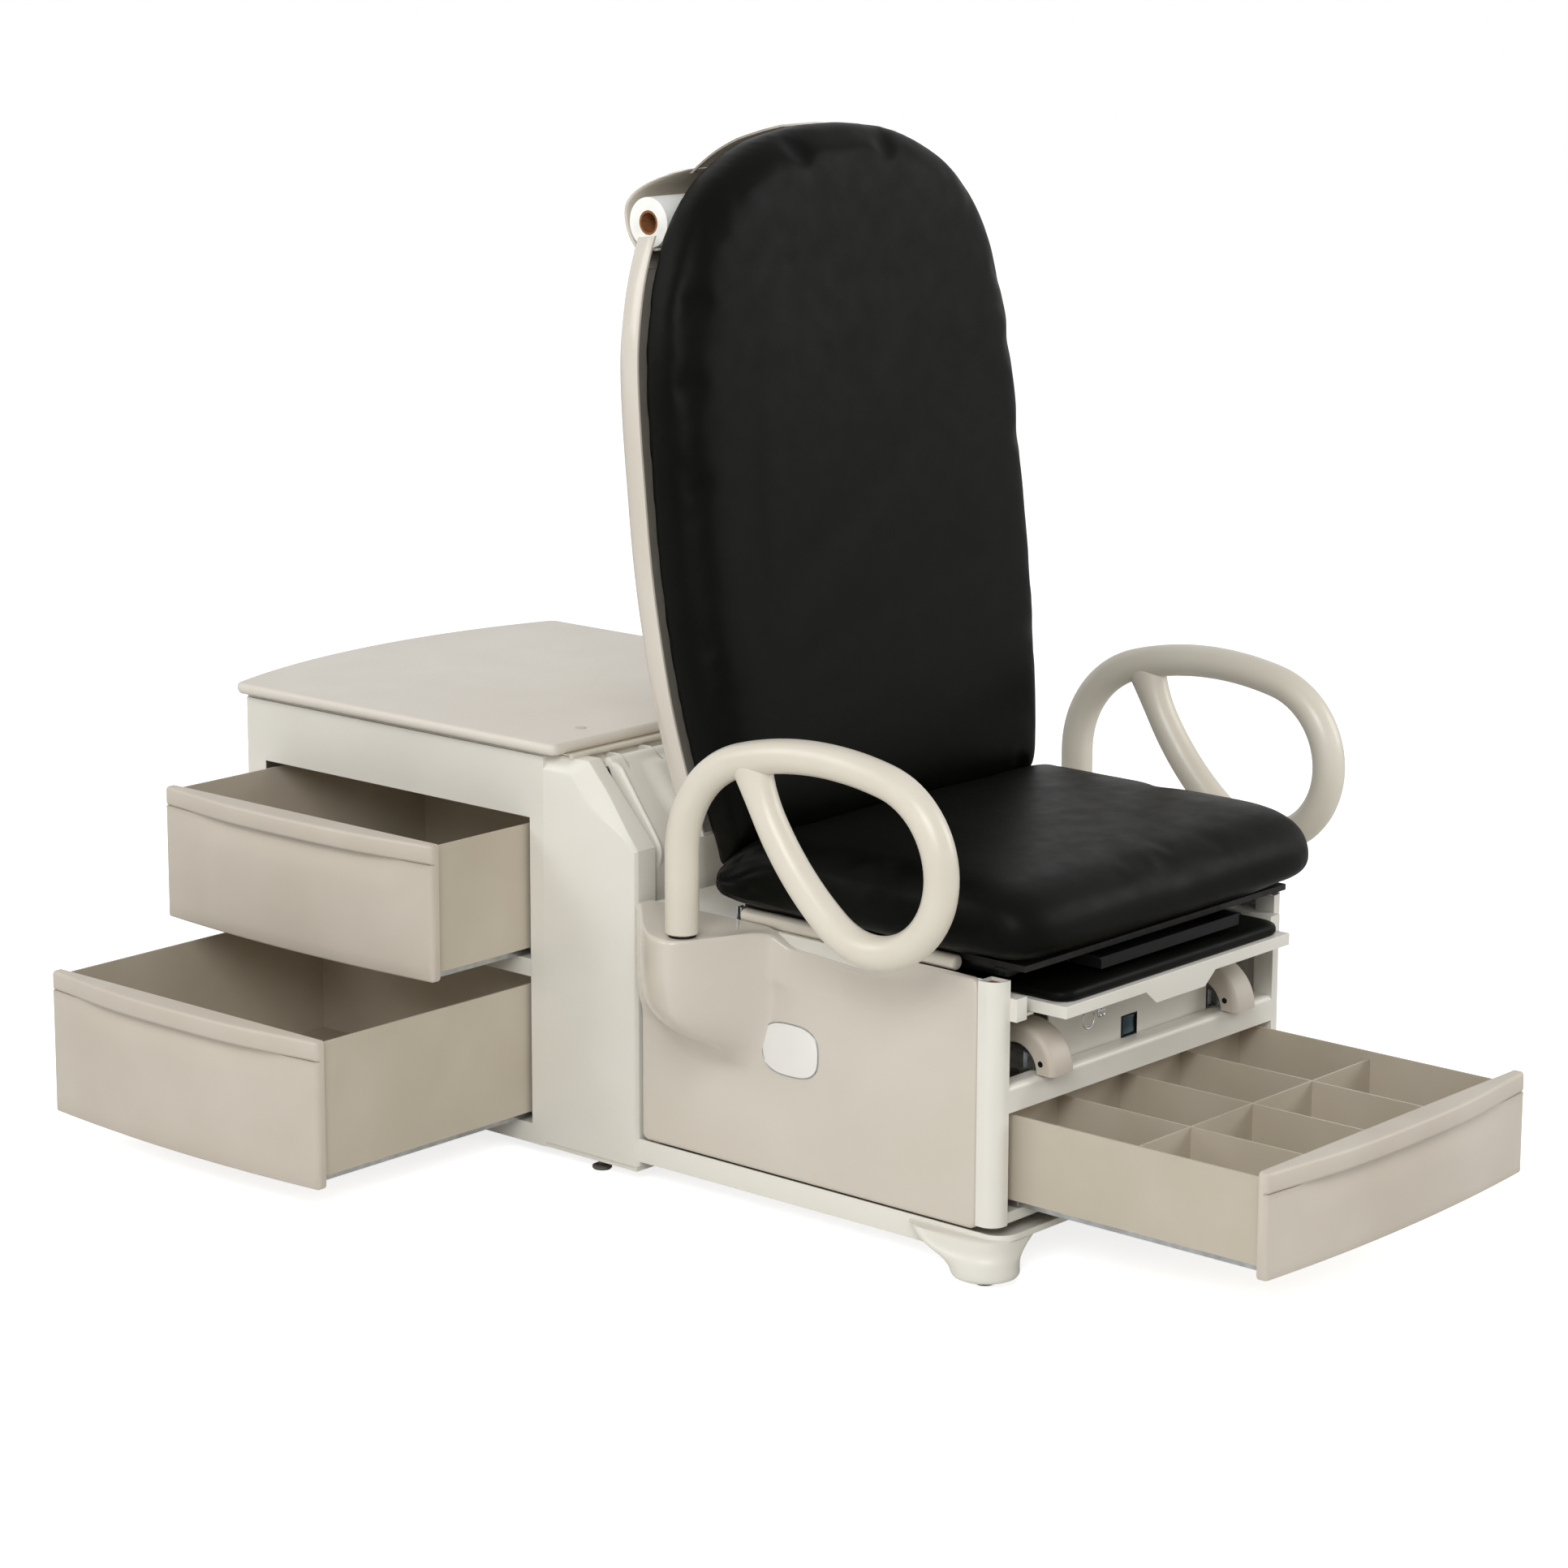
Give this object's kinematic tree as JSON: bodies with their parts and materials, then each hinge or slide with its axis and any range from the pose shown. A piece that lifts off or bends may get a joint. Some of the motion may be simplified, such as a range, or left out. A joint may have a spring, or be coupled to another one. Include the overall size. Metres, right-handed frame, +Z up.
{
  "type": "treatment table",
  "caption": "Power-lift treatment table with padded seat, reclining back, looped arms, stirrups, foot drawer and a rear cabinet with side drawers under a hinged worktop",
  "frame": {"origin": "on the floor, midway across the table and level with the middle pair of levelling feet", "axes": "+Z up; -Y towards the foot end with the front drawer; -X towards the side drawers, so +X is the sitter's right with the table seen from behind"},
  "size_m": [1.177, 1.8509, 1.4132],
  "materials": {
    "cabinet_enamel": "satin warm white enamel",
    "worktop": "fine textured laminate",
    "drawer_fronts": "fine textured moulding",
    "drawer_boxes": "satin enamel",
    "shroud_plastic": "smooth moulding",
    "arm_coat": "smooth powder coat",
    "badge": "smooth, blank",
    "vinyl": "satin seamless upholstery vinyl",
    "board": "stained plywood",
    "zinc": "zinc plated",
    "column_steel": "plain tube",
    "pivot_steel": "blackened",
    "motor_case": "satin",
    "foot_rubber": "matt",
    "black_plastic": "matt",
    "rocker_plastic": "smooth",
    "paper": "smooth",
    "core_board": "plain"
  },
  "bodies": {
    "base": {"base_pan": "cabinet_enamel", "levelling_feet": "foot_rubber", "cabinet_wrap": "cabinet_enamel", "cabinet_floor": "cabinet_enamel", "drawer_face_frame": "cabinet_enamel", "bin_tray": "cabinet_enamel", "wing_panels": "cabinet_enamel", "front_cover": "cabinet_enamel", "lid_hinge_base": "arm_coat", "lid_bumpers": "foot_rubber", "side_drawer_runners": "zinc", "power_inlet": "black_plastic", "column_outer": "cabinet_enamel", "lift_motor": "motor_case"},
    "lift_mid": {"column_middle": "column_steel"},
    "lift": {"column_inner": "column_steel", "front_frame": "cabinet_enamel", "frame_wrap": "cabinet_enamel", "drawer_bay": "cabinet_enamel", "deck_panel": "cabinet_enamel", "shroud_left": "shroud_plastic", "shroud_right": "shroud_plastic", "side_badges": "badge", "switch_panel": "cabinet_enamel", "arm_pivots": "pivot_steel", "stirrup_guides": "zinc", "tray_runners": "cabinet_enamel", "front_drawer_runners": "zinc", "seat_frame": "pivot_steel", "seat_board": "board", "seat_cushion": "vinyl"},
    "rocker": {"rocker_button": "rocker_plastic"},
    "back_bracket": {"recline_ratchets": "zinc"},
    "back": {"back_frame": "zinc", "back_shell": "shroud_plastic", "back_cushion": "vinyl"},
    "roll": {"paper_roll": "paper", "roll_core": "core_board"},
    "left_arm": {"arm_left": "arm_coat"},
    "right_arm": {"arm_right": "arm_coat"},
    "upper_drawer": {"upper_drawer_front": "drawer_fronts", "upper_drawer_box": "drawer_boxes", "upper_drawer_slides": "zinc"},
    "lower_drawer": {"lower_drawer_front": "drawer_fronts", "lower_drawer_box": "drawer_boxes", "lower_drawer_slides": "zinc"},
    "front_drawer": {"front_drawer_front": "drawer_fronts", "front_drawer_box": "drawer_boxes", "front_drawer_dividers": "drawer_boxes", "front_drawer_slides": "zinc"},
    "lid": {"worktop_lid": "worktop", "lid_hinge_leaf": "arm_coat"},
    "foot_rest": {"foot_tray": "cabinet_enamel", "foot_pad": "vinyl"},
    "basin": {"treatment_pan": "black_plastic"},
    "left_stirrup": {"stirrup_arm_left": "zinc"},
    "right_stirrup": {"stirrup_arm_right": "zinc"},
    "left_cup": {"heel_cup_left": "drawer_fronts"},
    "right_cup": {"heel_cup_right": "drawer_fronts"}
  },
  "joints": [
    {"name": "seat_lift", "type": "slide", "parent": "base", "child": "lift", "axis": [0, 0, 1], "range_m": [0, 0.46]},
    {"name": "column_stage", "type": "slide", "parent": "base", "child": "lift_mid", "axis": [0, 0, 1], "range_m": [0, 0.23]},
    {"name": "rocker_tilt", "type": "hinge", "parent": "lift", "child": "rocker", "pos_m": [0, -0.666, 0.2695], "axis": [1, 0, 0], "range_deg": [-7, 7], "stiffness_Nm_per_rad": 0.6},
    {"name": "back_recline", "type": "hinge", "parent": "lift", "child": "back_bracket", "pos_m": [0, -0.222, 0.452], "axis": [-1, 0, 0], "range_deg": [0, 43]},
    {"name": "back_flatten", "type": "hinge", "parent": "back_bracket", "child": "back", "pos_m": [0, -0.222, 0.452], "axis": [-1, 0, 0], "range_deg": [0, 40]},
    {"name": "roll_spin", "type": "hinge", "parent": "back", "child": "roll", "pos_m": [0, -0.07291, 1.28567], "axis": [1, 0, 0], "continuous": true},
    {"name": "left_arm_swing", "type": "hinge", "parent": "lift", "child": "left_arm", "pos_m": [-0.413, -0.2646, 0.45], "axis": [0, 0, -1], "range_deg": [0, 90]},
    {"name": "right_arm_swing", "type": "hinge", "parent": "lift", "child": "right_arm", "pos_m": [0.413, -0.2646, 0.45], "axis": [0, 0, 1], "range_deg": [0, 90]},
    {"name": "upper_drawer_slide", "type": "slide", "parent": "base", "child": "upper_drawer", "axis": [-1, 0, 0], "range_m": [-0.172, 0.211]},
    {"name": "lower_drawer_slide", "type": "slide", "parent": "base", "child": "lower_drawer", "axis": [-1, 0, 0], "range_m": [-0.383, 0]},
    {"name": "front_drawer_slide", "type": "slide", "parent": "lift", "child": "front_drawer", "axis": [0, -1, 0], "range_m": [-0.379, 0]},
    {"name": "lid_hinge", "type": "hinge", "parent": "base", "child": "lid", "pos_m": [0, 0.04, 0.568], "axis": [-1, 0, 0], "range_deg": [-80, 0]},
    {"name": "foot_rest_slide", "type": "slide", "parent": "lift", "child": "foot_rest", "axis": [0, -1, 0], "range_m": [0, 0.35]},
    {"name": "basin_slide", "type": "slide", "parent": "lift", "child": "basin", "axis": [0, -1, 0], "range_m": [0, 0.24]},
    {"name": "left_stirrup_slide", "type": "slide", "parent": "lift", "child": "left_stirrup", "axis": [0, -1, 0], "range_m": [0, 0.45]},
    {"name": "right_stirrup_slide", "type": "slide", "parent": "lift", "child": "right_stirrup", "axis": [0, -1, 0], "range_m": [0, 0.45]},
    {"name": "left_cup_flip", "type": "hinge", "parent": "left_stirrup", "child": "left_cup", "pos_m": [-0.1975, -0.697, 0.27], "axis": [1, 0, 0], "range_deg": [0, 90]},
    {"name": "right_cup_flip", "type": "hinge", "parent": "right_stirrup", "child": "right_cup", "pos_m": [0.1975, -0.697, 0.27], "axis": [1, 0, 0], "range_deg": [0, 90]}
  ],
  "couplings": [
    {"joint": "column_stage", "follows": "seat_lift", "ratio": 0.5},
    {"joint": "left_cup_flip", "follows": "left_stirrup_slide", "rad_per_m": 3.49},
    {"joint": "right_cup_flip", "follows": "right_stirrup_slide", "rad_per_m": 3.49}
  ]
}
